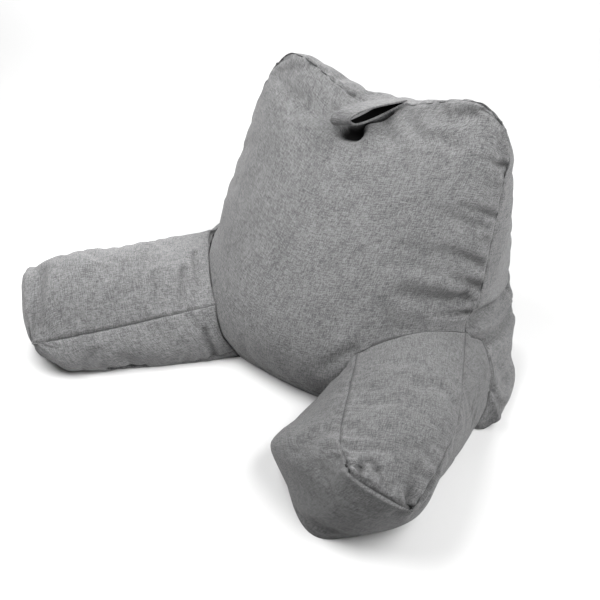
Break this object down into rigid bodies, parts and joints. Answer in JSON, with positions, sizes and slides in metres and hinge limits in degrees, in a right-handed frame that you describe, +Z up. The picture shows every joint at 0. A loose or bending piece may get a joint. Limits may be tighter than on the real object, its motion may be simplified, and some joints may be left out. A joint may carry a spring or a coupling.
{
  "type": "reading pillow with arms",
  "caption": "Stuffed fabric backrest cushion with splayed side arms, a notched top edge and a folded carrying loop, standing on its flat base.",
  "frame": {"origin": "middle of the bounding box on the surface that the pillow stands on", "axes": "+Z up, +Y from the sitter's side to the back of the backrest, +X along the backrest towards the right-hand arm in the front view"},
  "size_m": [0.7606, 0.5796, 0.427],
  "materials": {
    "cover_cloth": "plain weave of mixed light and dark grey yarns, matt",
    "loop_cloth": "the same woven cloth folded to a strap with stitched edges, matt"
  },
  "bodies": {
    "root": {"backrest": "cover_cloth", "arm_right": "cover_cloth", "arm_left": "cover_cloth", "carry_loop": "loop_cloth"}
  },
  "joints": []
}
